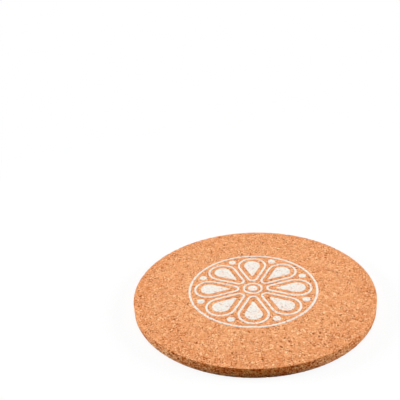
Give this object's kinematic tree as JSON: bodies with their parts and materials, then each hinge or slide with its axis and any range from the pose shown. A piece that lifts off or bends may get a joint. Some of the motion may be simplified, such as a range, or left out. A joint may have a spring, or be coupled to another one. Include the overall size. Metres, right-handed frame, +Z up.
{
  "type": "coaster",
  "caption": "Round drinks coaster die-cut from agglomerated cork, with a white screen-printed rosette on its top face.",
  "frame": {"origin": "centre of the bottom face, on the surface that the coaster rests on", "axes": "+Z up through the disc, out of the printed face; +X along one petal of the print"},
  "size_m": [0.1, 0.1, 0.0041],
  "materials": {
    "cork": "matte",
    "white_ink": "matte"
  },
  "bodies": {
    "root": {"cork_disc": "cork", "print_ring": "white_ink", "print_centre_ring": "white_ink", "print_centre_dot": "white_ink", "print_petal_1": "white_ink", "print_petal_2": "white_ink", "print_petal_3": "white_ink", "print_petal_4": "white_ink", "print_petal_5": "white_ink", "print_petal_6": "white_ink", "print_petal_7": "white_ink", "print_petal_8": "white_ink", "print_petal_core_1": "white_ink", "print_petal_core_2": "white_ink", "print_petal_core_3": "white_ink", "print_petal_core_4": "white_ink", "print_petal_core_5": "white_ink", "print_petal_core_6": "white_ink", "print_petal_core_7": "white_ink", "print_petal_core_8": "white_ink", "print_bead_1": "white_ink", "print_bead_2": "white_ink", "print_bead_3": "white_ink", "print_bead_4": "white_ink", "print_bead_5": "white_ink", "print_bead_6": "white_ink", "print_bead_7": "white_ink", "print_bead_8": "white_ink"}
  },
  "joints": []
}
